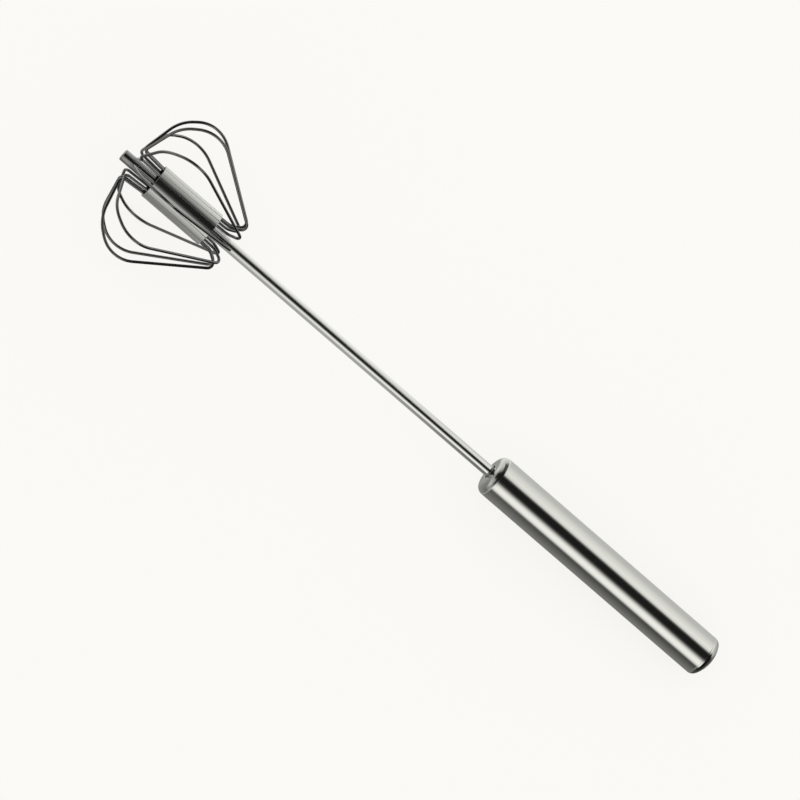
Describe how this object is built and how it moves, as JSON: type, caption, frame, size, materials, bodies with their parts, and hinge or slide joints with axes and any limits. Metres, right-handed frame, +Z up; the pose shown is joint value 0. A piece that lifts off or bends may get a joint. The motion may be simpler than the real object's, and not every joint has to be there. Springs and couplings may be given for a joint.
{
  "type": "push whisk",
  "caption": "Stainless steel hand-pushed rotary whisk: pressing the handle down a twisted strip spins a cage of wire loops, and a spring returns it.",
  "frame": {"origin": "centre of the footprint, on the surface that the whisk lies on", "axes": "+X along the tool's length from the foot to the handle, +Y across it, +Z up from the surface. The tool's own axis leans 4.4 degrees down towards the handle, because it rests on two wires and on the handle's rear edge"},
  "size_m": [0.2594, 0.0538, 0.0515],
  "materials": {
    "handle_steel": "stainless steel tube, mirror polished",
    "shaft_steel": "stainless steel, drawn and polished",
    "hub_steel": "stainless steel tube, polished",
    "wire_steel": "stainless spring wire, drawn bright",
    "drive_steel": "stainless steel, as cut",
    "spring_steel": "spring wire, satin",
    "washer_brass": "turned brass",
    "bush_nylon": "black nylon, moulded",
    "natural_acetal": "natural acetal, moulded",
    "bumper_rubber": "black rubber"
  },
  "bodies": {
    "handle": {"handle_barrel": "handle_steel", "front_cap": "handle_steel", "rear_cap": "handle_steel", "front_bush": "bush_nylon", "bumper_ring": "bumper_rubber", "strip_anchor": "natural_acetal", "anchor_pin": "drive_steel", "drive_strip": "drive_steel", "return_spring": "spring_steel"},
    "slider": {"thrust_washer": "washer_brass"},
    "whisk": {"shaft_tube": "shaft_steel", "foot_tip": "shaft_steel", "stop_collar": "drive_steel", "drive_nut": "natural_acetal", "hub_sleeve": "hub_steel", "hub_core": "hub_steel", "wire_loop_01": "wire_steel", "wire_loop_02": "wire_steel", "wire_loop_03": "wire_steel", "wire_loop_04": "wire_steel", "wire_loop_05": "wire_steel", "wire_loop_06": "wire_steel", "wire_loop_07": "wire_steel", "wire_loop_08": "wire_steel", "wire_loop_09": "wire_steel", "wire_loop_10": "wire_steel"}
  },
  "joints": [
    {"name": "handle_push", "type": "slide", "parent": "slider", "child": "handle", "axis": [-0.9971, 0, 0.0764], "range_m": [0, 0.05], "stiffness_N_per_m": 80, "springref_m": -0.0375, "deforming": ["return_spring"]},
    {"name": "whisk_spin", "type": "hinge", "parent": "slider", "child": "whisk", "pos_m": [-0.12957, 0, 0.02697], "axis": [0.9971, 0, -0.0764], "range_deg": [0, 721]}
  ],
  "couplings": [
    {"joint": "whisk_spin", "follows": "handle_push", "rad_per_m": 251.33}
  ]
}
